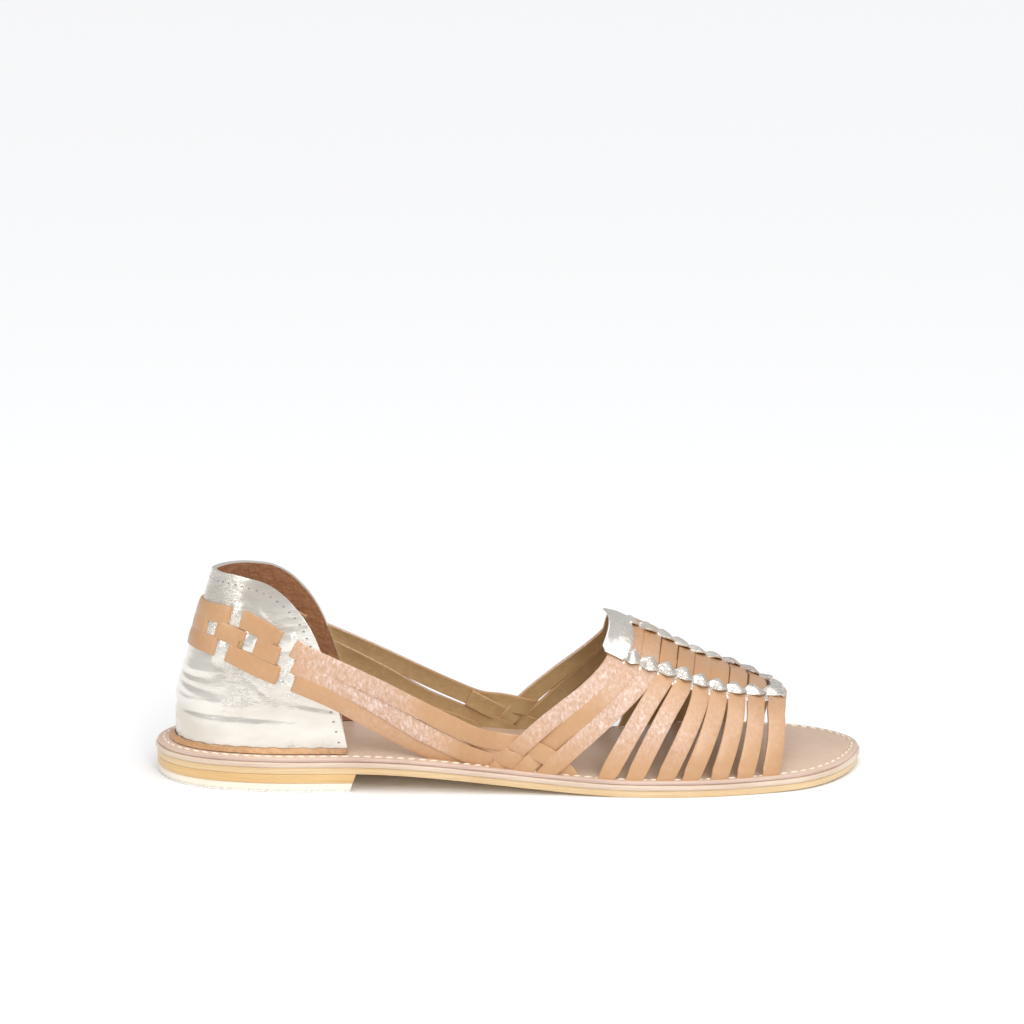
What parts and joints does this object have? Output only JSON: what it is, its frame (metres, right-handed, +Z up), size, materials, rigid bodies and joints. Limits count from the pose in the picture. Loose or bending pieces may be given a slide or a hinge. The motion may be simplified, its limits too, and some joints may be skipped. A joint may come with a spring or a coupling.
{
  "type": "huarache sandal",
  "caption": "Flat woven leather sandal, right foot: open toe, cross-strap vamp with metallic lacing, braided sides, straps woven through a metallic heel counter, low stacked heel",
  "frame": {"origin": "centre of the sandal's footprint box on the floor", "axes": "+X towards the toe along the sole's length, +Y towards the inner (medial) side of the right foot, +Z up"},
  "size_m": [0.256, 0.08, 0.075],
  "materials": {
    "sole_leather": "natural vegetable-tanned leather, sealed edge",
    "midsole_leather": "pale natural leather, sealed edge",
    "lift_leather": "stacked leather, waxed edge",
    "top_piece_rubber": "pale rubber, matt",
    "insole_leather": "pinkish tan footbed leather, smooth",
    "tan_leather": "tan strap leather, satin",
    "metallic_leather": "metallic foil-coated leather, crackled and creased"
  },
  "bodies": {
    "root": {"outsole": "sole_leather", "midsole": "midsole_leather", "heel_lift": "lift_leather", "heel_top_piece": "top_piece_rubber", "insole": "insole_leather", "heel_counter": "metallic_leather", "counter_rand": "tan_leather", "woven_upper": "tan_leather", "vamp_lacing": "metallic_leather"}
  },
  "joints": []
}
